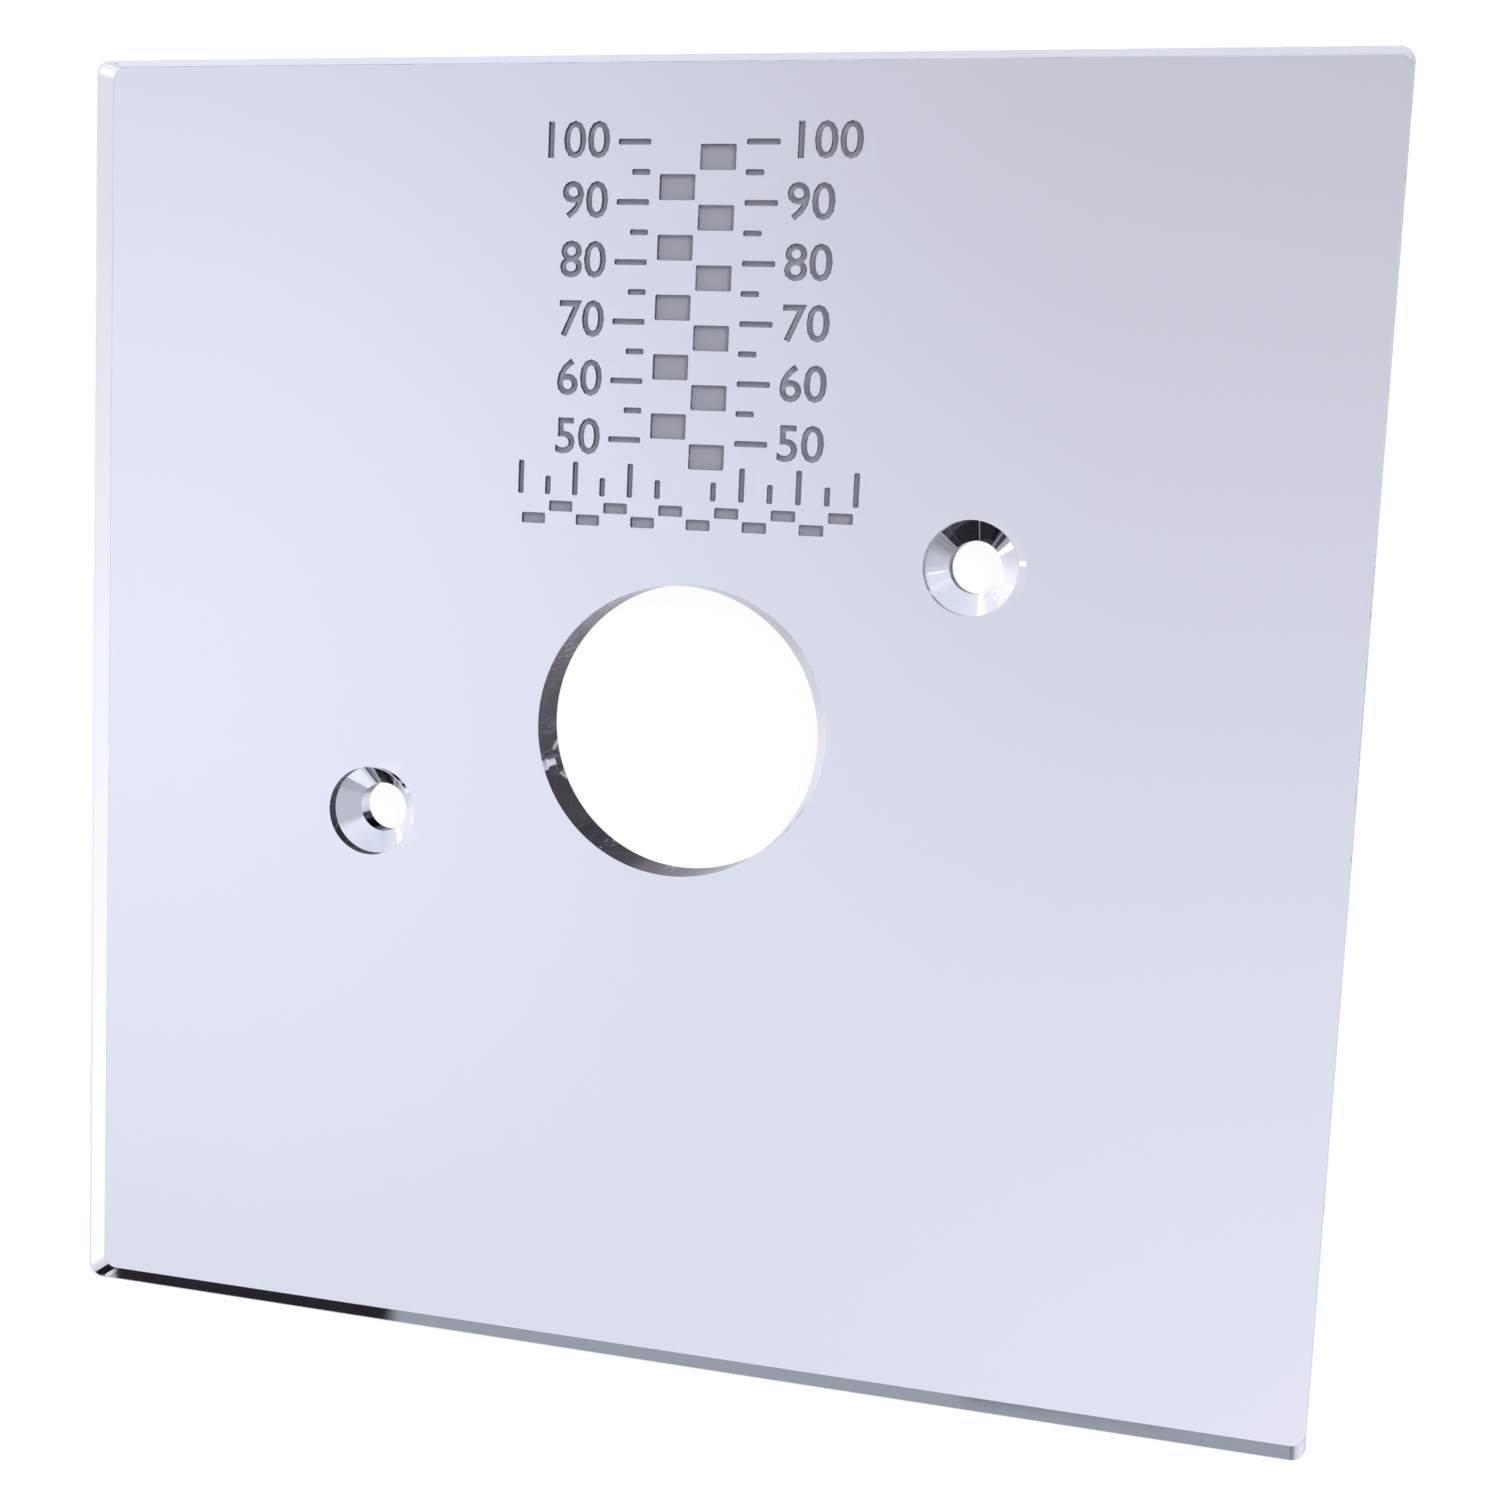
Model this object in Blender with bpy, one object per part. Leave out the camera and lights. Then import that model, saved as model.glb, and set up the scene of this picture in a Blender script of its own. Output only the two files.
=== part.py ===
"""Router base plate: one square sheet of clear plastic that is screwed under a router.

The sheet has small round corners, a round bit hole through its centre and two screw
holes, each with a shallow straight recess, a countersink and a clearance hole below it.

Frame: metres, +Z up. The sheet lies flat with its countersunk work face up. The origin
is the centre of the bit hole on the lower face, the one that seats on the router.
"""

import math

import bmesh
import bpy

# The sheet
PLATE_LENGTH = 0.2286  # along X, 9 in
PLATE_WIDTH = 0.2286  # along Y, 9 in
PLATE_THICKNESS = 0.009525  # 3/8 in sheet
CORNER_RADIUS = 0.00254  # on the four upright corners, 0.1 in

# The bit hole, on the middle of the sheet
BIT_HOLE_DIAMETER = 0.0508  # 2 in

# The two screw holes, both the same, from the work face down, for 8 mm flat heads
SCREW_RECESS_DIAMETER = 0.016  # straight wall above the countersink
SCREW_RECESS_DEPTH = 0.0025
COUNTERSINK_ANGLE = math.radians(90)  # across the cone
SCREW_CLEARANCE_DIAMETER = 0.009

# Where the router's two screws are, from the middle of the bit hole
RIGHT_SCREW_X = 0.0499
RIGHT_SCREW_Y = 0.0310
LEFT_SCREW_X = -0.0574
LEFT_SCREW_Y = -0.0185

# How finely the round shapes are cut, and how far a cutter runs past a face
BIT_HOLE_SIDES = 128
SCREW_HOLE_SIDES = 72
CORNER_SIDES = 12
CUT_OVERRUN = 0.002
SMOOTH_ANGLE = math.radians(30)


def clear_scene():
    for obj in list(bpy.data.objects):
        bpy.data.objects.remove(obj, do_unlink=True)


def clear_plastic():
    """Clear, faintly cool plastic sheet with polished faces."""
    material = bpy.data.materials.new("clear_plastic")
    material.use_nodes = True
    shader = material.node_tree.nodes["Principled BSDF"]
    shader.inputs["Base Color"].default_value = (0.80, 0.83, 0.94, 1.0)
    shader.inputs["Roughness"].default_value = 0.03
    shader.inputs["Metallic"].default_value = 0.0
    shader.inputs["IOR"].default_value = 1.586
    shader.inputs["Transmission Weight"].default_value = 1.0
    return material


def new_object(name, bm):
    """Puts a closed mesh into the scene, smooth where it is round."""
    bmesh.ops.recalc_face_normals(bm, faces=bm.faces)
    mesh = bpy.data.meshes.new(name)
    bm.to_mesh(mesh)
    bm.free()
    mesh.shade_smooth()
    mesh.set_sharp_from_angle(angle=SMOOTH_ANGLE)
    obj = bpy.data.objects.new(name, mesh)
    bpy.context.scene.collection.objects.link(obj)
    return obj


def rounded_outline(length, width, radius, sides):
    """Points around a rectangle with round corners, anticlockwise from the right side."""
    points = []
    for quarter, (side_x, side_y) in enumerate(((1, 1), (-1, 1), (-1, -1), (1, -1))):
        centre_x = side_x * (length / 2 - radius)
        centre_y = side_y * (width / 2 - radius)
        for step in range(sides + 1):
            turn = (quarter + step / sides) * math.pi / 2
            points.append((centre_x + radius * math.cos(turn), centre_y + radius * math.sin(turn)))
    return points


def sheet(name, outline, thickness):
    """A flat sheet of that outline, standing on the ground plane."""
    bm = bmesh.new()
    lower_face = bm.faces.new([bm.verts.new((x, y, 0)) for x, y in outline])
    made = bmesh.ops.extrude_face_region(bm, geom=[lower_face])["geom"]
    upper_verts = [item for item in made if isinstance(item, bmesh.types.BMVert)]
    bmesh.ops.translate(bm, vec=(0, 0, thickness), verts=upper_verts)
    obj = new_object(name, bm)
    for polygon in obj.data.polygons:
        polygon.use_smooth = abs(polygon.normal.z) < math.cos(SMOOTH_ANGLE)
    return obj


def turned_cutter(name, profile, sides, centre):
    """A solid turned about Z from (radius, height) points, bottom to top, as a cutter."""
    bm = bmesh.new()
    turns = [side / sides * math.tau for side in range(sides)]
    rings = [
        [bm.verts.new((radius * math.cos(turn), radius * math.sin(turn), height)) for turn in turns]
        for radius, height in profile
    ]
    for lower, upper in zip(rings, rings[1:]):
        for side in range(sides):
            after = (side + 1) % sides
            bm.faces.new((lower[side], lower[after], upper[after], upper[side]))
    bm.faces.new(rings[0])
    bm.faces.new(rings[-1])
    cutter = new_object(name, bm)
    cutter.location = (*centre, 0)
    cutter.hide_render = True
    cutter.display_type = "WIRE"
    return cutter


def bit_hole_cutter():
    radius = BIT_HOLE_DIAMETER / 2
    profile = [(radius, -CUT_OVERRUN), (radius, PLATE_THICKNESS + CUT_OVERRUN)]
    return turned_cutter("bit_hole_cutter", profile, BIT_HOLE_SIDES, (0, 0))


def screw_hole_cutter(name, centre):
    recess_radius = SCREW_RECESS_DIAMETER / 2
    clearance_radius = SCREW_CLEARANCE_DIAMETER / 2
    cone_height = (recess_radius - clearance_radius) / math.tan(COUNTERSINK_ANGLE / 2)
    cone_top = PLATE_THICKNESS - SCREW_RECESS_DEPTH
    cone_bottom = cone_top - cone_height
    profile = [
        (clearance_radius, min(0, cone_bottom) - CUT_OVERRUN),
        (clearance_radius, cone_bottom),
        (recess_radius, cone_top),
        (recess_radius, PLATE_THICKNESS + CUT_OVERRUN),
    ]
    return turned_cutter(name, profile, SCREW_HOLE_SIDES, centre)


def cut(obj, cutter):
    modifier = obj.modifiers.new(cutter.name, "BOOLEAN")
    modifier.operation = "DIFFERENCE"
    modifier.solver = "EXACT"
    modifier.object = cutter


def base_plate():
    outline = rounded_outline(PLATE_LENGTH, PLATE_WIDTH, CORNER_RADIUS, CORNER_SIDES)
    plate = sheet("base_plate", outline, PLATE_THICKNESS)
    plate.data.materials.append(clear_plastic())
    cut(plate, bit_hole_cutter())
    cut(plate, screw_hole_cutter("right_screw_hole_cutter", (RIGHT_SCREW_X, RIGHT_SCREW_Y)))
    cut(plate, screw_hole_cutter("left_screw_hole_cutter", (LEFT_SCREW_X, LEFT_SCREW_Y)))
    return plate


clear_scene()
base_plate()
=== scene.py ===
"""Looks of the router base plate: a clear plastic sheet, lying on a pale floor in soft light.

Metres, +Z up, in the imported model's own frame. The sheet is built again here with finer
round shapes, broken edges and an engraved scale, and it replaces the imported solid.
"""

import math

import bmesh
import bpy
from mathutils import Matrix, Vector


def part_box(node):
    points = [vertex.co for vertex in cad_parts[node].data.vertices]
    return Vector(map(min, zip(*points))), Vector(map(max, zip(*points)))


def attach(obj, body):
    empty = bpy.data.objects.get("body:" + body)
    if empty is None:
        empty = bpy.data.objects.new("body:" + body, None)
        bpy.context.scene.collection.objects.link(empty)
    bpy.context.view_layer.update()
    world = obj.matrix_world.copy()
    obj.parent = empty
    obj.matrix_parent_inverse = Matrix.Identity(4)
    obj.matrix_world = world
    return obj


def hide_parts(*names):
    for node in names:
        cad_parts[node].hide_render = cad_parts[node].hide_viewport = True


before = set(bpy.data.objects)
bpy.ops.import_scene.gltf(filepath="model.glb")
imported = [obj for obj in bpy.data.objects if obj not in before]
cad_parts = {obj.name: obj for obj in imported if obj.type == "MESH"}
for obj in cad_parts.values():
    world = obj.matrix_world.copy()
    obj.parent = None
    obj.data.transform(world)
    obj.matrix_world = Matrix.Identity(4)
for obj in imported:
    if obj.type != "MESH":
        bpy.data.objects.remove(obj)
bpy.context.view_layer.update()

SHEET_LOW, SHEET_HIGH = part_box("base_plate")
THICKNESS = SHEET_HIGH.z - SHEET_LOW.z
MILLIMETRES = 1000  # in a metre
WHITE = (1.0, 1.0, 1.0, 1.0)

# The sheet
CORNER_RADIUS = 0.00254
EDGE_BREAK = 0.00004  # the cut edges are just broken
CORNER_SIDES = 24

# The bit hole and the two screw holes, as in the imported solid
BIT_HOLE_RADIUS = 0.0254
BIT_HOLE_SIDES = 360
SCREW_RECESS_RADIUS = 0.008
SCREW_RECESS_DEPTH = 0.0025
SCREW_CLEARANCE_RADIUS = 0.0045
SCREW_CONE_SLOPE = math.radians(45)
SCREW_HOLE_SIDES = 192
SCREW_PLACES = {"right": (0.0499, 0.0310), "left": (-0.0574, -0.0185)}
CUT_OVERRUN = 0.001
CUT_FLARE = EDGE_BREAK + CUT_OVERRUN  # how much wider a cutter is where it ends past a face

# The engraved scale, in plate places from the middle of the bit hole
ENGRAVE_DEPTH = 0.001
SCALE_STEP = 0.005
LAND = 0.0007  # what is left standing between two engraved blocks
BLOCK_CORNER = 0.0003
BLOCK_CORNER_SIDES = 3
STAFF_WIDTH = 0.0140
STAFF_LOW = 0.045
STAFF_STEPS = 11
STAFF_TICK_START = 0.0084
RULER_Y = 0.0350
RULER_HEIGHT = 0.0044
RULER_STEPS = 6  # each side of the centre line
TICK_WIDTH = 0.0010
SHORT_TICK = 0.0032
LONG_TICK = 0.0058
DIGIT_SIZE = 0.0086  # the font's size, whose figures are about 0.7 of it tall
DIGIT_WEIGHT = 0.00012  # how much each stroke is widened on either side
DIGIT_SMOOTHNESS = 3
DIGIT_MERGE = 0.000003  # points that lie closer than this become one
DIGIT_GAP = 0.0014

# How the faces are told apart, by how far a normal of length 1 points along an axis
SMOOTH_ANGLE = math.radians(20)
FLAT_NORMAL = 0.999  # along Z, on the two faces and the engraved floors
STRAIGHT_NORMAL = 0.99999  # along X or Y, on the four edges
HEIGHT_MARGIN = 0.0003  # how far off its height an engraved floor may be

# The photograph's camera
CAMERA_PLACE = Vector((0.104424, 0.040725, 0.354080))
CAMERA_TARGET = Vector((0.01355, -0.00209, THICKNESS))
CAMERA_UP = Vector((0, 1, 0))  # before the roll
CAMERA_ROLL = math.radians(2.540)
CAMERA_LENS = 50
CAMERA_SENSOR = 36
CAMERA_CLIP = (0.01, 100)

# The soft round lamp
LAMP_PLACE = Vector((0.75, 0.55, 0.9))
LAMP_SIZE = 0.5
LAMP_POWER = 6

# The clear plastic, and the cutter's streaks on its walls
CLEAR_COLOUR = (0.80, 0.83, 0.94, 1.0)
PLASTIC_IOR = 1.586
SHEET_BOUNCES = 24  # light that enters at an edge is mirrored many times between the faces
WALL_NORMAL = (0.95, 0.80)  # how far a normal points up or down, from no streaks to full ones
EDGE_NORMAL = (0.9990, 0.9999)  # how far it points along X or Y, from a corner to an edge
ROUND_STREAKS = 12  # noise cells in a radian of a round wall
EDGE_STREAKS = 1500  # noise cells in a metre of a straight edge
STREAK_HEIGHT = 0.000002
WALL_ROUGHNESS = 0.02

# Light that goes straight through both faces crosses the sheet's whole thickness. Light that
# comes by way of a cut or an edge mostly crosses less, and where it leaves, the surface is
# rough, too little to see, so that the floor can tell it from straight light.
STRAIGHT_SHARE = 0.98
BENT_ROUGHNESS = 0.006

# The plastic where it is engraved: really frosted and matt, with a painted grey shade that the
# grain varies at random
FROST_PAINTED_SHADE_DARK = (0.365, 0.38, 0.44, 1.0)
FROST_PAINTED_SHADE_PALE = (0.405, 0.42, 0.49, 1.0)
FROST_GRAIN = 4000  # noise cells in a metre
FROST_ROUGHNESS = 0.6
FROST_ROUGHNESS_SPREAD = 0.3
PASS_SCALE = 1600  # the wave node's scale, for a pass about every 0.3 mm
PASS_WAVER = 1.5
PASS_HEIGHT = 0.000004

# The floor
FLOOR_SIZE = 12
FLOOR_GAP = 0.0002
FLOOR_PAPER = 0.9
FLOOR_GLOW = 0.91
FLOOR_SHADOWED = 0.16  # the share of the floor's white that a shadow can take away

# The floor as it shows straight through the sheet, with painted pools of light and shade by place:
# a centre, a radius and a colour. A painted glint has what a card of the studio has, as told below.
FLOOR_GROUND = (0.907, 0.898, 0.906, 1.0)
FLOOR_PAINTED_POOLS = (
    (0.178, 0.329, 0.459, (0.613, 0.599, 0.608, 1.0)),
    (-0.108, 0.000, 0.199, (1.087, 1.091, 1.138, 1.0)),
    (0.134, -0.161, 0.285, (1.056, 1.044, 1.052, 1.0)),
    (0.348, -0.275, 0.313, (2.466, 2.330, 1.603, 1.0)),
)
FLOOR_PAINTED_GLINTS = (
    # a painted glint beside the right screw hole
    (0.05720, 0.05838, 0.03163, 0.03246, 0.00005, 0.00005, (1.50, 1.50, 1.45, 1.0)),
)

# Where bent light shows the studio instead of the floor: so far from a hole's middle, and
# from so far inside the sheet's edges outwards
STUDIO_ROUND_BIT = 0.0272
STUDIO_ROUND_SCREW = 0.0132
STUDIO_ALONG_EDGE = 0.004

# Left of the left screw hole, a round patch of painted shade on the floor dims light mirrored once
# on the hole's recess
PAINTED_SHADE_PLACE = (-0.0654, -0.0205)
PAINTED_SHADE_RADIUS = 0.011
PAINTED_SHADE_TINT = (0.33, 0.33, 0.34, 1.0)
MIRRORED_ONCE = (1.0, 0.5)  # how many times, and how far off a count may be

# The studio that shows through the clear sheet, by the x and y of a direction of length 1.
# A pool of light has a centre, a radius and a colour. A card has a low and a high x, a low
# and a high y, how soft its rim is along x and y, and a colour. What is listed later lies
# over what comes before.
BELOW_GROUND = (1.00, 0.99, 1.00, 1.0)
BELOW_POOLS = (
    (0.00, 0.36, 0.70, (0.72, 0.71, 0.72, 1.0)),
    (-0.65, -0.09, 0.50, (1.10, 1.11, 1.17, 1.0)),
    (0.55, -0.38, 0.62, (1.42, 1.39, 1.32, 1.0)),
    (0.05, -0.55, 0.26, (1.16, 1.14, 1.10, 1.0)),
    (-0.44, -0.60, 0.32, (0.84, 0.87, 0.92, 1.0)),
    (0.21, 0.12, 0.14, (0.88, 0.88, 0.87, 1.0)),
    (0.54, 0.22, 0.20, (1.02, 0.98, 0.94, 1.0)),
    (-0.53, 0.24, 0.18, (0.86, 0.86, 0.88, 1.0)),
    (-0.51, -0.43, 0.20, (0.90, 0.91, 0.95, 1.0)),
)
BELOW_CARDS = (
    # the left wall, and the window beside it
    (-0.98, -0.635, -0.36, 0.26, 0.03, 0.05, (0.62, 0.62, 0.63, 1.0)),
    (-0.98, -0.770, 0.06, 0.26, 0.01, 0.05, (0.48, 0.48, 0.49, 1.0)),
    (-0.68, -0.590, -0.26, -0.12, 0.02, 0.02, (0.95, 0.96, 1.00, 1.0)),
    (-0.70, -0.54, 0.08, 0.60, 0.02, 0.22, (0.35, 0.35, 0.35, 1.0)),
    (-0.545, -0.497, 0.24, 0.38, 0.004, 0.02, (0.33, 0.33, 0.34, 1.0)),
    (-0.592, -0.550, 0.360, 0.400, 0.003, 0.010, (0.10, 0.10, 0.11, 1.0)),
    (-0.545, -0.497, 0.390, 0.430, 0.004, 0.010, (0.15, 0.15, 0.16, 1.0)),
    (-0.635, -0.592, 0.325, 0.370, 0.003, 0.006, (0.75, 0.77, 0.76, 1.0)),
    (-0.775, -0.630, 0.195, 0.370, 0.004, 0.006, (1.45, 1.50, 1.45, 1.0)),
    # the far wall, dark over grey
    (-0.52, 0.14, 0.31, 0.66, 0.02, 0.02, (0.43, 0.44, 0.46, 1.0)),
    (-0.125, -0.033, 0.372, 0.402, 0.006, 0.004, (0.13, 0.13, 0.13, 1.0)),
    (-0.505, -0.38, 0.30, 0.39, 0.004, 0.01, (0.020, 0.021, 0.023, 1.0)),
    (-0.475, -0.38, 0.385, 0.43, 0.01, 0.01, (0.006, 0.006, 0.007, 1.0)),
    (-0.475, 0.245, 0.42, 0.66, 0.01, 0.01, (0.006, 0.006, 0.007, 1.0)),
    (0.16, 0.245, 0.33, 0.66, 0.015, 0.015, (0.006, 0.006, 0.007, 1.0)),
    (0.245, 0.285, 0.30, 0.42, 0.006, 0.006, (0.46, 0.46, 0.47, 1.0)),
    (-0.112, -0.099, 0.46, 0.60, 0.004, 0.02, (0.35, 0.35, 0.36, 1.0)),
    (0.175, 0.187, 0.34, 0.60, 0.004, 0.02, (0.40, 0.40, 0.41, 1.0)),
    # small lamps
    (0.288, 0.342, 0.235, 0.335, 0.005, 0.005, (1.40, 1.40, 1.35, 1.0)),
    (-0.075, 0.025, -0.55, -0.49, 0.005, 0.005, (1.60, 1.55, 1.45, 1.0)),
    (-0.125, -0.006, -0.624, -0.580, 0.004, 0.003, (1.60, 1.55, 1.45, 1.0)),
    (-0.6335, -0.6275, -0.120, -0.107, 0.001, 0.002, (2.00, 2.00, 2.00, 1.0)),
    (-0.496, -0.492, 0.353, 0.357, 0.001, 0.001, (1.40, 1.40, 1.35, 1.0)),
    (-0.496, -0.492, -0.350, -0.3475, 0.001, 0.0005, (1.40, 1.40, 1.35, 1.0)),
)
WINDOW_SLATS = 7
WINDOW_SLAT_X = (-0.757, -0.632)  # the first and the last
WINDOW_SLAT_WIDTH = 0.007
WINDOW_SLAT_RIM = 0.00175
WINDOW_SLAT_Y = (0.19, 0.375)
WINDOW_SLAT_COLOUR = (0.25, 0.26, 0.26, 1.0)

# Small scattered lights in a pool of the studio, which has a centre and a radius
SPARKLE_POOL = (0.27, -0.37, 0.20)
SPARKLE_MIDDLE = (-0.12, 0.0)  # they lie on rings round here
SPARKLE_RING = (0.5320, 0.5340)  # the inner rim of the rings
SPARKLE_SCALE = 22  # cells for a length of 1 along a ring, each with one sparkle
SPARKLE_SQUEEZE = 32  # how much closer they lie across the rings
SPARKLE_SIZE = (0.27, 0.19)  # in cells, where it starts and where it is full
SPARKLE_COLOUR = (2.20, 2.20, 2.20, 1.0)

# The light above, by the height of its direction: bright low down, dark overhead
ABOVE_RISE = (0.55, 0.80)
ABOVE_LOW = (0.80, 0.81, 0.84, 1.0)
ABOVE_HIGH = (0.03, 0.03, 0.035, 1.0)
HORIZON_RIM = 0.02

# What matt surfaces get instead of the studio
PLAIN_LIGHT = 0.65

# The studio as the outside of the sheet mirrors it, by the x and the height of a direction
MIRRORED_FALL = (-0.25, 0.35)  # it falls off to the right over this x
MIRRORED_LEFT = (0.70, 0.71, 0.80, 1.0)
MIRRORED_RIGHT = (0.36, 0.365, 0.42, 1.0)
MIRRORED_RISE = (0.0, 0.1)  # and upwards over this height
MIRRORED_ABOVE = (0.05, 0.05, 0.055, 1.0)

# Light that has been mirrored over and over between the faces comes out weaker, and steep
# light not at all
MIRRORED_TIMES = 4.5  # more often than this
STEEP = (0.60, 0.85)  # how far its direction points up or down
FAR_TINT = (0.27, 0.285, 0.33, 1.0)
LOST_LIGHT = (0.015, 0.015, 0.018, 1.0)


class Shade:
    """Small helpers that add nodes to one tree."""

    MIX_INPUTS = (0, 6, 7)  # where a mix node for colours has its share and its two colours
    MIX_OUTPUT = 2

    def __init__(self, tree):
        self.nodes = tree.nodes
        self.links = tree.links

    def put(self, socket, value):
        """Links another node's output to a socket, or sets a plain value on it."""
        if isinstance(value, bpy.types.NodeSocket):
            self.links.new(value, socket)
        else:
            socket.default_value = value

    def math(self, operation, *values):
        node = self.nodes.new("ShaderNodeMath")
        node.operation = operation
        for socket, value in zip(node.inputs, values):
            self.put(socket, value)
        return node.outputs[0]

    def larger(self, first, second):
        """The size of the larger of two numbers, whatever their signs."""
        return self.math("MAXIMUM", self.math("ABSOLUTE", first), self.math("ABSOLUTE", second))

    def step(self, value, low, high):
        """0 below low and 1 above high, or the other way round, soft between them."""
        node = self.nodes.new("ShaderNodeMapRange")
        node.interpolation_type = "SMOOTHSTEP"
        rising = low < high
        self.put(node.inputs["Value"], value)
        self.put(node.inputs["From Min"], min(low, high))
        self.put(node.inputs["From Max"], max(low, high))
        self.put(node.inputs["To Min"], 0.0 if rising else 1.0)
        self.put(node.inputs["To Max"], 1.0 if rising else 0.0)
        return node.outputs["Result"]

    def distance(self, x, y, centre_x, centre_y):
        node = self.nodes.new("ShaderNodeVectorMath")
        node.operation = "DISTANCE"
        self.put(node.inputs[0], self.join(x, y, 0.0))
        self.put(node.inputs[1], (centre_x, centre_y, 0.0))
        return node.outputs["Value"]

    def within(self, x, y, centre, radius):
        """1 inside a circle and 0 outside it."""
        return self.math("LESS_THAN", self.distance(x, y, *centre), radius)

    def split(self, vector):
        node = self.nodes.new("ShaderNodeSeparateXYZ")
        self.put(node.inputs[0], vector)
        return tuple(node.outputs)

    def join(self, *values):
        node = self.nodes.new("ShaderNodeCombineXYZ")
        for socket, value in zip(node.inputs, values):
            self.put(socket, value)
        return node.outputs[0]

    def noise(self, vector, scale):
        node = self.nodes.new("ShaderNodeTexNoise")
        self.put(node.inputs["Vector"], vector)
        self.put(node.inputs["Scale"], scale)
        return node.outputs["Fac"]

    def bump(self, height, distance):
        node = self.nodes.new("ShaderNodeBump")
        self.put(node.inputs["Distance"], distance)
        self.put(node.inputs["Height"], height)
        return node.outputs["Normal"]

    def mix(self, share, first, second, blend="MIX"):
        """Two colours, blended."""
        node = self.nodes.new("ShaderNodeMix")
        node.data_type = "RGBA"
        node.blend_type = blend
        for index, value in zip(self.MIX_INPUTS, (share, first, second)):
            self.put(node.inputs[index], value)
        return node.outputs[self.MIX_OUTPUT]

    def times(self, first, second):
        """Two colours, multiplied."""
        return self.mix(1.0, first, second, "MULTIPLY")

    def shader(self, kind, colour):
        """A plain shader of one kind, such as Emission."""
        node = self.nodes.new("ShaderNode" + kind)
        self.put(node.inputs["Color"], colour)
        return node.outputs[0]

    def add_shaders(self, first, second):
        node = self.nodes.new("ShaderNodeAddShader")
        for socket, value in zip(node.inputs, (first, second)):
            self.put(socket, value)
        return node.outputs[0]

    def mix_shaders(self, share, first, second):
        node = self.nodes.new("ShaderNodeMixShader")
        for socket, value in zip(node.inputs, (share, first, second)):
            self.put(socket, value)
        return node.outputs[0]


def grey(level):
    return (level, level, level, 1.0)


def new_material(name):
    material = bpy.data.materials.new(name)
    material.use_nodes = True
    return material, Shade(material.node_tree)


def cutter_streaks(shade):
    """The cutter's fine streaks, which run straight down the round walls and cones, and up
    the four edges. The flat faces have none."""
    coordinates = shade.nodes.new("ShaderNodeTexCoord")
    normal_x, normal_y, normal_z = shade.split(coordinates.outputs["Normal"])
    place_x, place_y, _ = shade.split(coordinates.outputs["Object"])
    on_wall = shade.step(shade.math("ABSOLUTE", normal_z), *WALL_NORMAL)
    on_edge = shade.step(shade.larger(normal_x, normal_y), *EDGE_NORMAL)
    round_streaks = shade.noise(coordinates.outputs["Normal"], ROUND_STREAKS)
    edge_streaks = shade.noise(shade.join(place_x, place_y, 0.0), EDGE_STREAKS)
    streaks = shade.math("ADD", round_streaks, shade.math("MULTIPLY", on_edge, edge_streaks))
    return shade.math("MULTIPLY", on_wall, streaks)


def leaves_early(shade):
    """1 where light reaches a surface from inside after less than the sheet's thickness."""
    crossed = shade.nodes.new("ShaderNodeLightPath").outputs["Ray Length"]
    from_inside = shade.nodes.new("ShaderNodeNewGeometry").outputs["Backfacing"]
    early = shade.math("LESS_THAN", crossed, THICKNESS * STRAIGHT_SHARE)
    return shade.math("MULTIPLY", early, from_inside)


def clear_plastic():
    """Polished clear sheet, faintly cool, with the cutter's streaks on its cut walls."""
    material, shade = new_material("clear_plastic")
    shader = shade.nodes["Principled BSDF"]
    shader.inputs["Base Color"].default_value = CLEAR_COLOUR
    shader.inputs["IOR"].default_value = PLASTIC_IOR
    shader.inputs["Transmission Weight"].default_value = 1.0
    streaks = cutter_streaks(shade)
    dulled = shade.math("MULTIPLY", streaks, WALL_ROUGHNESS)
    marked = shade.math("MULTIPLY", leaves_early(shade), BENT_ROUGHNESS)
    shade.put(shader.inputs["Roughness"], shade.math("ADD", dulled, marked))
    shade.put(shader.inputs["Normal"], shade.bump(streaks, STREAK_HEIGHT))
    return material


def frosted_plastic():
    """The same plastic where it is engraved, left matt by the cutter's fine passes, with a painted
    grey shade that the grain varies at random.
    """
    material, shade = new_material("frosted_plastic")
    shader = shade.nodes["Principled BSDF"]
    shader.inputs["IOR"].default_value = PLASTIC_IOR
    place = shade.nodes.new("ShaderNodeTexCoord").outputs["Object"]
    passes = shade.nodes.new("ShaderNodeTexWave")
    passes.bands_direction = "DIAGONAL"
    shade.put(passes.inputs["Vector"], place)
    shade.put(passes.inputs["Scale"], PASS_SCALE)
    shade.put(passes.inputs["Distortion"], PASS_WAVER)
    grain = shade.noise(place, FROST_GRAIN)
    worn = shade.math("MULTIPLY", passes.outputs["Fac"], grain)
    spread = shade.math("MULTIPLY", worn, FROST_ROUGHNESS_SPREAD)
    # painted grey shade on the engraved floors, varied at random by the grain
    shade.put(shader.inputs["Base Color"], shade.mix(grain, FROST_PAINTED_SHADE_DARK, FROST_PAINTED_SHADE_PALE))
    shade.put(shader.inputs["Roughness"], shade.math("ADD", FROST_ROUGHNESS, spread))
    shade.put(shader.inputs["Normal"], shade.bump(worn, PASS_HEIGHT))
    return material


def mesh_object(name, bm):
    mesh = bpy.data.meshes.new(name)
    bm.to_mesh(mesh)
    bm.free()
    obj = bpy.data.objects.new(name, mesh)
    bpy.context.scene.collection.objects.link(obj)
    return obj


def loft(bm, rings):
    """A closed solid through rings of as many points each, anticlockwise, bottom to top."""
    made = [[bm.verts.new(point) for point in ring] for ring in rings]
    count = len(made[0])
    for lower, upper in zip(made, made[1:]):
        for index in range(count):
            after = (index + 1) % count
            bm.faces.new((lower[index], lower[after], upper[after], upper[index]))
    bm.faces.new(made[0][::-1])
    bm.faces.new(made[-1])


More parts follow.
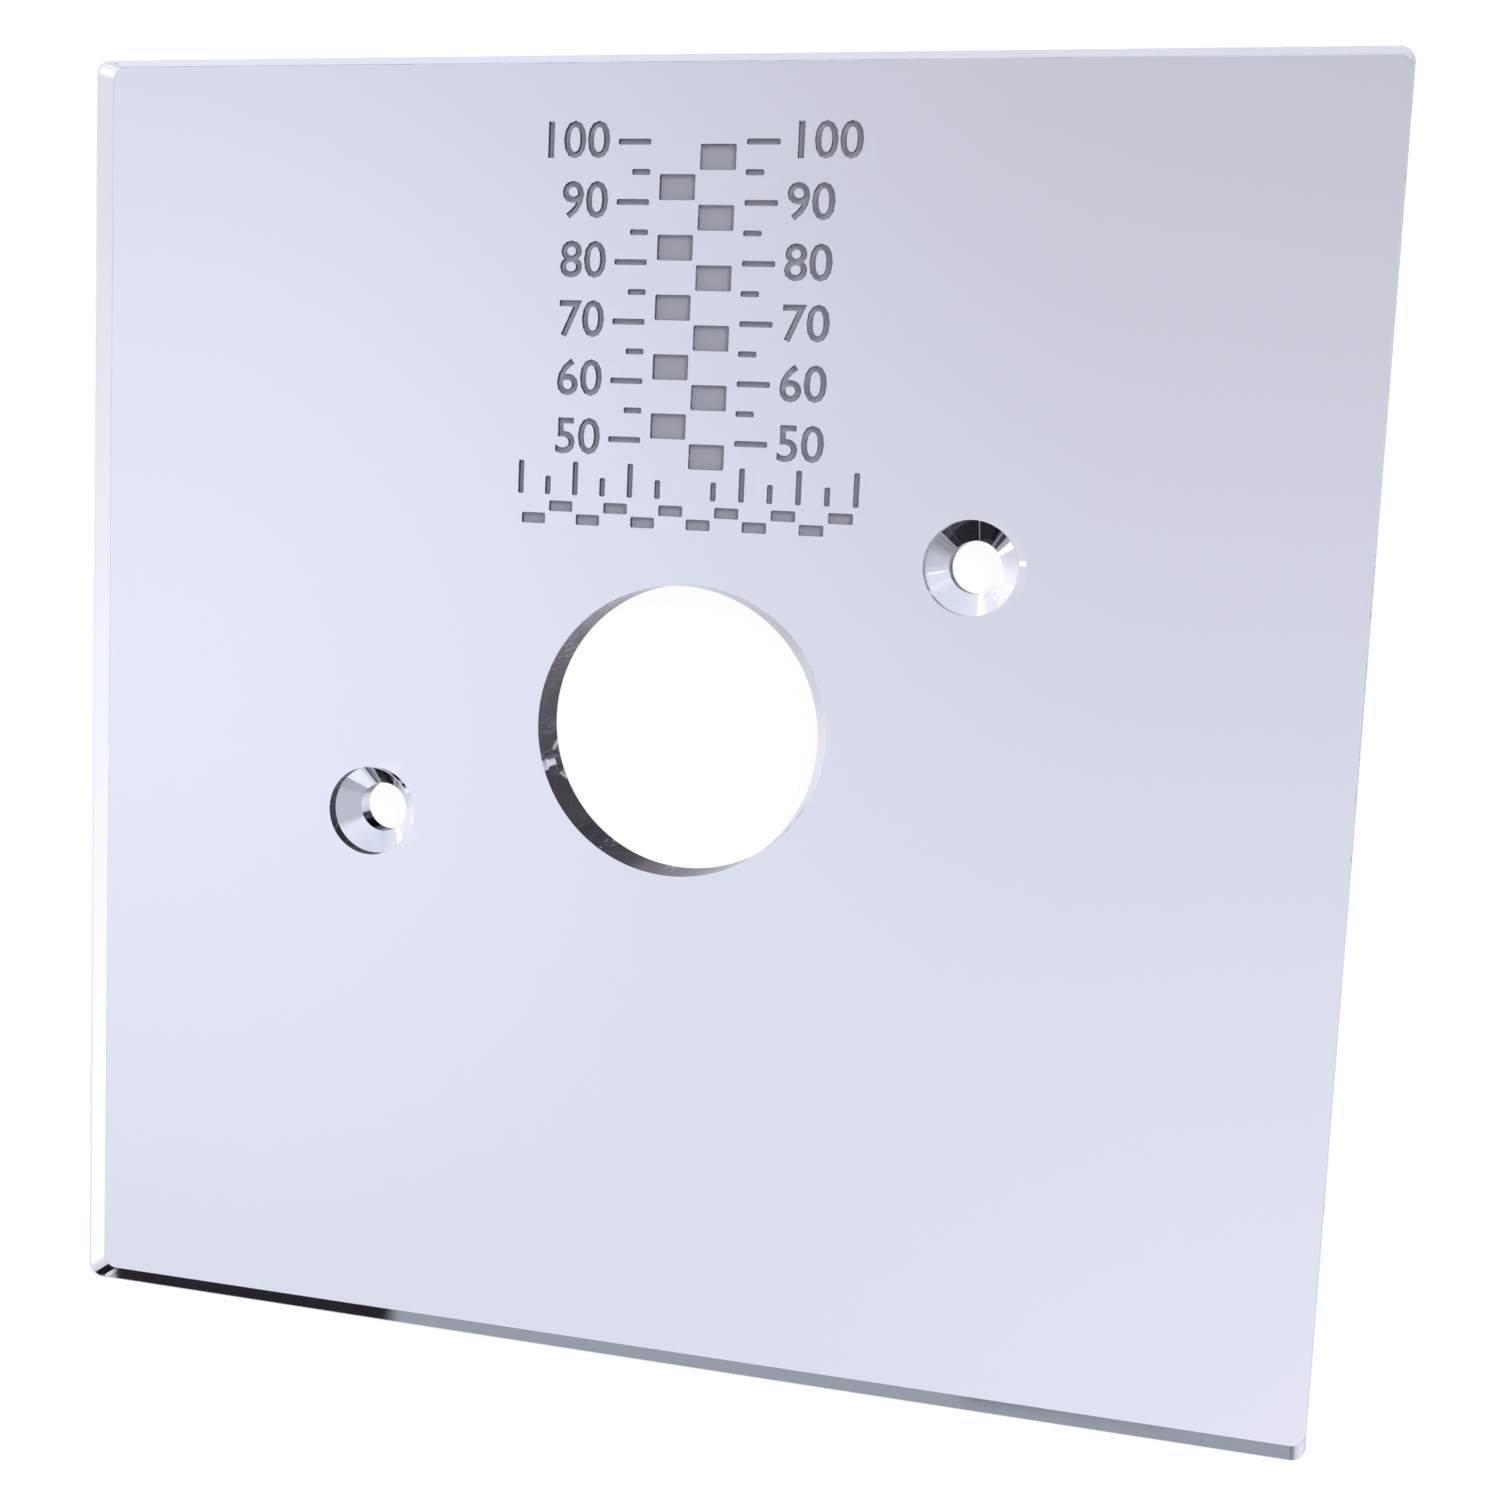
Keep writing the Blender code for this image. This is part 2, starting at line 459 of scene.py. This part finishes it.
def rounded_rectangle(low, high, radius, sides, inset, height):
    """Points round a rectangle with round corners, drawn in by an inset, at one height."""
    centre = (Vector(low) + Vector(high)) / 2
    half = (Vector(high) - Vector(low)) / 2
    points = []
    for quarter, (side_x, side_y) in enumerate(((1, 1), (-1, 1), (-1, -1), (1, -1))):
        for step in range(sides + 1):
            turn = (quarter + step / sides) * math.pi / 2
            x = centre.x + side_x * (half.x - radius) + (radius - inset) * math.cos(turn)
            y = centre.y + side_y * (half.y - radius) + (radius - inset) * math.sin(turn)
            points.append((x, y, height))
    return points


def circle(centre, radius, sides, height):
    points = []
    for side in range(sides):
        turn = side / sides * math.tau
        x = centre[0] + radius * math.cos(turn)
        y = centre[1] + radius * math.sin(turn)
        points.append((x, y, height))
    return points


def blank_sheet():
    """The sheet before it is cut, with its long edges just broken."""
    bottom, top = SHEET_LOW.z, SHEET_HIGH.z
    levels = [
        (EDGE_BREAK, bottom),
        (0, bottom + EDGE_BREAK),
        (0, top - EDGE_BREAK),
        (EDGE_BREAK, top),
    ]
    rings = [
        rounded_rectangle(SHEET_LOW.xy, SHEET_HIGH.xy, CORNER_RADIUS, CORNER_SIDES, inset, height)
        for inset, height in levels
    ]
    bm = bmesh.new()
    loft(bm, rings)
    return mesh_object("clear_base_plate", bm)


def turned_cutter(name, profile, centre, sides):
    """A round cutter through (radius, height) points, bottom to top."""
    bm = bmesh.new()
    loft(bm, [circle(centre, radius, sides, height) for radius, height in profile])
    return mesh_object(name, bm)


def bit_hole_cutter():
    bottom, top = SHEET_LOW.z, SHEET_HIGH.z
    profile = [
        (BIT_HOLE_RADIUS + CUT_FLARE, bottom - CUT_OVERRUN),
        (BIT_HOLE_RADIUS, bottom + EDGE_BREAK),
        (BIT_HOLE_RADIUS, top - EDGE_BREAK),
        (BIT_HOLE_RADIUS + CUT_FLARE, top + CUT_OVERRUN),
    ]
    return turned_cutter("bit_hole_cutter", profile, (0, 0), BIT_HOLE_SIDES)


def screw_hole_cutter(side, centre):
    bottom, top = SHEET_LOW.z, SHEET_HIGH.z
    cone_top = top - SCREW_RECESS_DEPTH
    cone_height = (SCREW_RECESS_RADIUS - SCREW_CLEARANCE_RADIUS) / math.tan(SCREW_CONE_SLOPE)
    profile = [
        (SCREW_CLEARANCE_RADIUS + CUT_FLARE, bottom - CUT_OVERRUN),
        (SCREW_CLEARANCE_RADIUS, bottom + EDGE_BREAK),
        (SCREW_CLEARANCE_RADIUS, cone_top - cone_height),
        (SCREW_RECESS_RADIUS, cone_top),
        (SCREW_RECESS_RADIUS, top - EDGE_BREAK),
        (SCREW_RECESS_RADIUS + CUT_FLARE, top + CUT_OVERRUN),
    ]
    return turned_cutter(side + "_screw_hole_cutter", profile, centre, SCREW_HOLE_SIDES)


def block(bm, low, high):
    """One engraved block's cutter, from its floor up past the work face."""
    levels = (SHEET_HIGH.z - ENGRAVE_DEPTH, SHEET_HIGH.z + CUT_OVERRUN)
    rings = [
        rounded_rectangle(low, high, BLOCK_CORNER, BLOCK_CORNER_SIDES, 0, height)
        for height in levels
    ]
    loft(bm, rings)


def tick_across(bm, side, y, length):
    """A tick beside the staff, on the right for side 1 and on the left for side -1."""
    ends = sorted((side * STAFF_TICK_START, side * (STAFF_TICK_START + length)))
    block(bm, (ends[0], y - TICK_WIDTH / 2), (ends[1], y + TICK_WIDTH / 2))


def staff(bm):
    """Blocks in two columns by turns, with ticks on both sides."""
    column = STAFF_WIDTH / 2
    for step in range(STAFF_STEPS):
        y = STAFF_LOW + step * SCALE_STEP
        left = -column if step % 2 else 0
        low = (left + LAND / 2, y + LAND / 2)
        high = (left + column - LAND / 2, y + SCALE_STEP - LAND / 2)
        block(bm, low, high)
    for step in range(1, STAFF_STEPS + 1):
        length = LONG_TICK if step % 2 else SHORT_TICK
        for side in (-1, 1):
            tick_across(bm, side, STAFF_LOW + step * SCALE_STEP, length)


def ruler(bm):
    """Blocks in two rows by turns, with ticks above them."""
    row = RULER_HEIGHT / 2
    for step in range(-RULER_STEPS, RULER_STEPS):
        x = step * SCALE_STEP
        y = RULER_Y + (row if step % 2 else 0)
        block(bm, (x + LAND / 2, y), (x + SCALE_STEP - LAND / 2, y + row - LAND / 2))
    base = RULER_Y + RULER_HEIGHT + LAND
    for step in range(1, RULER_STEPS + 1):
        length = SHORT_TICK if step % 2 else LONG_TICK
        for x in (-step * SCALE_STEP, step * SCALE_STEP):
            block(bm, (x - TICK_WIDTH / 2, base), (x + TICK_WIDTH / 2, base + length))


def number(bm, text, place, align):
    """Plain figures as a cutter. Their middle height is at the place."""
    curve = bpy.data.curves.new("number", "FONT")
    curve.body = text
    curve.size = DIGIT_SIZE
    curve.offset = DIGIT_WEIGHT
    curve.resolution_u = DIGIT_SMOOTHNESS
    curve.align_x = align
    curve.align_y = "CENTER"
    curve.extrude = (ENGRAVE_DEPTH + CUT_OVERRUN) / 2
    obj = bpy.data.objects.new("number", curve)
    obj.location = (*place, SHEET_HIGH.z + (CUT_OVERRUN - ENGRAVE_DEPTH) / 2)
    bpy.context.scene.collection.objects.link(obj)
    bpy.context.view_layer.update()
    evaluated = obj.evaluated_get(bpy.context.evaluated_depsgraph_get())
    mesh = bpy.data.meshes.new_from_object(evaluated)
    mesh.transform(obj.matrix_world)
    piece = bmesh.new()
    piece.from_mesh(mesh)
    bmesh.ops.remove_doubles(piece, verts=piece.verts, dist=DIGIT_MERGE)
    piece.to_mesh(mesh)
    piece.free()
    bm.from_mesh(mesh)
    bpy.data.objects.remove(obj)
    bpy.data.curves.remove(curve)
    bpy.data.meshes.remove(mesh)


def numbers(bm):
    """How far each long tick is from the bit's centre, in millimetres."""
    reach = STAFF_TICK_START + LONG_TICK + DIGIT_GAP
    for step in range(1, STAFF_STEPS + 1, 2):
        y = STAFF_LOW + step * SCALE_STEP
        text = f"{y * MILLIMETRES:.0f}"
        number(bm, text, (reach, y), "LEFT")
        number(bm, text, (-reach, y), "RIGHT")


def scale_cutter():
    bm = bmesh.new()
    staff(bm)
    ruler(bm)
    numbers(bm)
    return mesh_object("scale_cutter", bm)


def cut(obj, cutter):
    modifier = obj.modifiers.new(cutter.name, "BOOLEAN")
    modifier.operation = "DIFFERENCE"
    modifier.solver = "EXACT"
    modifier.object = cutter


def apply_cuts(obj, cutters):
    """Bakes the cuts into the mesh and drops the cutters."""
    bpy.context.view_layer.update()
    evaluated = obj.evaluated_get(bpy.context.evaluated_depsgraph_get())
    mesh = bpy.data.meshes.new_from_object(evaluated)
    obj.modifiers.clear()
    obj.data = mesh
    for cutter in cutters:
        bpy.data.objects.remove(cutter)


def finish_faces(obj, clear, frosted):
    """Round walls smooth, flat faces flat, and the engraved floors frosted."""
    mesh = obj.data
    mesh.materials.clear()
    for material in (clear, frosted):
        mesh.materials.append(material)
    engraved = SHEET_HIGH.z - ENGRAVE_DEPTH
    mesh.shade_smooth()
    mesh.set_sharp_from_angle(angle=SMOOTH_ANGLE)
    for polygon in mesh.polygons:
        normal = polygon.normal
        lies_flat = abs(normal.z) > FLAT_NORMAL
        on_edge = max(abs(normal.x), abs(normal.y)) > STRAIGHT_NORMAL
        if lies_flat or on_edge:
            polygon.use_smooth = False
        on_floor = lies_flat and abs(polygon.center.z - engraved) < HEIGHT_MARGIN
        polygon.material_index = 1 if on_floor else 0


def base_plate():
    plate = blank_sheet()
    cutters = [bit_hole_cutter(), scale_cutter()]
    for side, centre in SCREW_PLACES.items():
        cutters.append(screw_hole_cutter(side, centre))
    for cutter in cutters:
        cut(plate, cutter)
    apply_cuts(plate, cutters)
    finish_faces(plate, clear_plastic(), frosted_plastic())
    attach(plate, "root")
    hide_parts("base_plate")


def on_card(shade, x, y, x_low, x_high, y_low, y_high, x_rim, y_rim):
    """1 on a card and 0 round it, soft along its rim."""
    across = shade.math(
        "MULTIPLY",
        shade.step(x, x_low - x_rim, x_low + x_rim),
        shade.step(x, x_high + x_rim, x_high - x_rim),
    )
    along = shade.math(
        "MULTIPLY",
        shade.step(y, y_low - y_rim, y_low + y_rim),
        shade.step(y, y_high + y_rim, y_high - y_rim),
    )
    return shade.math("MULTIPLY", across, along)


def pools_and_cards(shade, x, y, ground, pools, cards):
    """Soft round pools of light over an even ground, and soft-edged cards over them."""
    # On the floor these pools and cards are painted light and shade; in the world they are the
    # studio's own light.
    seen = ground
    for centre_x, centre_y, radius, colour in pools:
        away = shade.distance(x, y, centre_x, centre_y)
        seen = shade.mix(shade.step(away, radius, 0.0), seen, colour)
    for *card, colour in cards:
        seen = shade.mix(on_card(shade, x, y, *card), seen, colour)
    return seen


def window_slats():
    """The dark slats across the window, as cards."""
    first, last = WINDOW_SLAT_X
    half = WINDOW_SLAT_WIDTH / 2
    rims = (WINDOW_SLAT_RIM, WINDOW_SLAT_RIM)
    cards = []
    for slat in range(WINDOW_SLATS):
        x = first + (last - first) * slat / (WINDOW_SLATS - 1)
        cards.append((x - half, x + half, *WINDOW_SLAT_Y, *rims, WINDOW_SLAT_COLOUR))
    return cards


def sparkles(shade, x, y):
    """1 on the small scattered lights, 0 round them."""
    centre_x, centre_y, radius = SPARKLE_POOL
    middle_x, middle_y = SPARKLE_MIDDLE
    ring = shade.distance(x, y, middle_x, middle_y)
    inside = shade.step(shade.distance(x, y, centre_x, centre_y), radius, 0.0)
    inside = shade.math("MULTIPLY", inside, shade.step(ring, *SPARKLE_RING))
    right_of_middle = shade.math("SUBTRACT", x, middle_x)
    above_middle = shade.math("SUBTRACT", y, middle_y)
    turn = shade.math("ARCTAN2", above_middle, right_of_middle)
    along = shade.math("MULTIPLY", turn, math.hypot(centre_x - middle_x, centre_y - middle_y))
    across = shade.math("MULTIPLY", ring, SPARKLE_SQUEEZE)
    cells = shade.nodes.new("ShaderNodeTexVoronoi")
    cells.voronoi_dimensions = "2D"
    shade.put(cells.inputs["Vector"], shade.join(along, across, 0.0))
    shade.put(cells.inputs["Scale"], SPARKLE_SCALE)
    dots = shade.step(cells.outputs["Distance"], *SPARKLE_SIZE)
    return shade.math("MULTIPLY", inside, dots)


def studio(shade, x, y, z):
    """The studio, by the direction that the light comes from."""
    cards = [*BELOW_CARDS, *window_slats()]
    below = pools_and_cards(shade, x, y, BELOW_GROUND, BELOW_POOLS, cards)
    below = shade.mix(sparkles(shade, x, y), below, SPARKLE_COLOUR)
    above = shade.mix(shade.step(z, *ABOVE_RISE), ABOVE_LOW, ABOVE_HIGH)
    return shade.mix(shade.step(z, -HORIZON_RIM, HORIZON_RIM), below, above)


def mirrored_outside(shade, light, x, z):
    """The studio's light as the outside of the sheet mirrors it."""
    tint = shade.mix(shade.step(x, *MIRRORED_FALL), MIRRORED_LEFT, MIRRORED_RIGHT)
    tint = shade.mix(shade.step(z, *MIRRORED_RISE), tint, MIRRORED_ABOVE)
    return shade.times(light, tint)


def let_through(shade, path, light, z):
    """The studio's light as it comes through the sheet, weaker if it was mirrored inside it
    over and over."""
    many = shade.math("GREATER_THAN", path.outputs["Glossy Depth"], MIRRORED_TIMES)
    steep = shade.step(shade.math("ABSOLUTE", z), *STEEP)
    weaker = shade.mix(steep, shade.times(light, FAR_TINT), LOST_LIGHT)
    return shade.mix(many, light, weaker)


def studio_world():
    """White to the camera, plain to matt surfaces, and a studio with cards to clear ones."""
    world = bpy.data.worlds.new("studio")
    world.use_nodes = True
    bpy.context.scene.world = world
    shade = Shade(world.node_tree)
    path = shade.nodes.new("ShaderNodeLightPath")
    x, y, z = shade.split(shade.nodes.new("ShaderNodeTexCoord").outputs["Generated"])
    light = studio(shade, x, y, z)
    mirrored = mirrored_outside(shade, light, x, z)
    through = let_through(shade, path, light, z)
    seen = shade.mix(path.outputs["Is Glossy Ray"], grey(PLAIN_LIGHT), mirrored)
    seen = shade.mix(path.outputs["Is Transmission Ray"], seen, through)
    seen = shade.mix(path.outputs["Is Camera Ray"], seen, WHITE)
    background = shade.nodes["Background"]
    shade.put(background.inputs["Color"], seen)
    shade.put(background.inputs["Strength"], 1.0)


def near_a_cut(shade, x, y):
    """1 on the floor round the holes, along the edges and outside the sheet, 0 elsewhere."""
    near = shade.within(x, y, (0, 0), STUDIO_ROUND_BIT)
    for centre in SCREW_PLACES.values():
        near = shade.math("MAXIMUM", near, shade.within(x, y, centre, STUDIO_ROUND_SCREW))
    inner = SHEET_HIGH.x - STUDIO_ALONG_EDGE
    return shade.math("MAXIMUM", near, shade.math("GREATER_THAN", shade.larger(x, y), inner))


def studio_light(shade, path, x, y):
    """Lets the studio show through the floor, with painted shade in one round place for light
    mirrored once.
    """
    once = shade.math("COMPARE", path.outputs["Glossy Depth"], *MIRRORED_ONCE)
    # a round patch of painted shade for light mirrored once
    weak = shade.math("MULTIPLY", once, shade.within(x, y, PAINTED_SHADE_PLACE, PAINTED_SHADE_RADIUS))
    return shade.shader("BsdfTransparent", shade.mix(weak, WHITE, PAINTED_SHADE_TINT))


def under_sheet(shade, path, x, y):
    """What shows through the clear sheet: pale paper with painted pools of light and shade and a
    painted glint, and the studio instead where bent light comes in near a cut or an edge."""
    # painted pools of light and shade, and a painted glint, for the floor under the sheet
    pools = pools_and_cards(shade, x, y, FLOOR_GROUND, FLOOR_PAINTED_POOLS, FLOOR_PAINTED_GLINTS)
    bent = shade.math("SUBTRACT", 1.0, path.outputs["Is Singular Ray"])
    near = shade.math("MULTIPLY", bent, near_a_cut(shade, x, y))
    return shade.mix_shaders(near, shade.shader("Emission", pools), studio_light(shade, path, x, y))


def pale_floor():
    """White to the camera, with the object's faint shadow, plain paper to matt surfaces, and clear
    to polished ones, which mirror the studio. Through the sheet it shows painted pools of light and
    shade and a painted glint."""
    material, shade = new_material("pale_floor")
    shade.nodes.clear()
    path = shade.nodes.new("ShaderNodeLightPath")
    x, y, _ = shade.split(shade.nodes.new("ShaderNodeTexCoord").outputs["Object"])
    shadowed = shade.shader("BsdfDiffuse", grey(FLOOR_SHADOWED))
    white = shade.add_shaders(shadowed, shade.shader("Emission", grey(FLOOR_GLOW)))
    paper = shade.shader("BsdfDiffuse", grey(FLOOR_PAPER))
    clear = shade.shader("BsdfTransparent", WHITE)
    through = under_sheet(shade, path, x, y)
    seen = shade.mix_shaders(path.outputs["Is Glossy Ray"], paper, clear)
    seen = shade.mix_shaders(path.outputs["Is Transmission Ray"], seen, through)
    seen = shade.mix_shaders(path.outputs["Is Camera Ray"], seen, white)
    shade.put(shade.nodes.new("ShaderNodeOutputMaterial").inputs["Surface"], seen)
    return material


def floor():
    bm = bmesh.new()
    bmesh.ops.create_grid(bm, x_segments=1, y_segments=1, size=FLOOR_SIZE / 2)
    bmesh.ops.translate(bm, vec=(0, 0, SHEET_LOW.z - FLOOR_GAP), verts=bm.verts)
    obj = mesh_object("floor", bm)
    obj.data.materials.append(pale_floor())


def lamp():
    """A soft round lamp aimed at the object, which clear and polished faces don't show."""
    data = bpy.data.lights.new("key", "AREA")
    data.shape = "DISK"
    data.size = LAMP_SIZE
    data.energy = LAMP_POWER
    obj = bpy.data.objects.new("key", data)
    bpy.context.scene.collection.objects.link(obj)
    obj.visible_glossy = False
    obj.visible_transmission = False
    obj.location = LAMP_PLACE
    obj.rotation_mode = "QUATERNION"
    obj.rotation_quaternion = (-LAMP_PLACE).to_track_quat("-Z", "Y")


def camera():
    data = bpy.data.cameras.new("camera")
    data.lens = CAMERA_LENS
    data.sensor_width = CAMERA_SENSOR
    data.clip_start, data.clip_end = CAMERA_CLIP
    obj = bpy.data.objects.new("camera", data)
    bpy.context.scene.collection.objects.link(obj)
    forward = (CAMERA_TARGET - CAMERA_PLACE).normalized()
    right = forward.cross(CAMERA_UP).normalized()
    up = right.cross(forward)
    turned = Matrix((right, up, -forward)).transposed() @ Matrix.Rotation(CAMERA_ROLL, 3, "Z")
    obj.matrix_world = Matrix.Translation(CAMERA_PLACE) @ turned.to_4x4()
    bpy.context.scene.camera = obj


camera()
studio_world()
floor()
lamp()
base_plate()

bpy.context.scene.view_settings.view_transform = "Standard"
bpy.context.scene.cycles.max_bounces = SHEET_BOUNCES
bpy.context.scene.cycles.glossy_bounces = SHEET_BOUNCES
bpy.context.scene.cycles.transmission_bounces = SHEET_BOUNCES
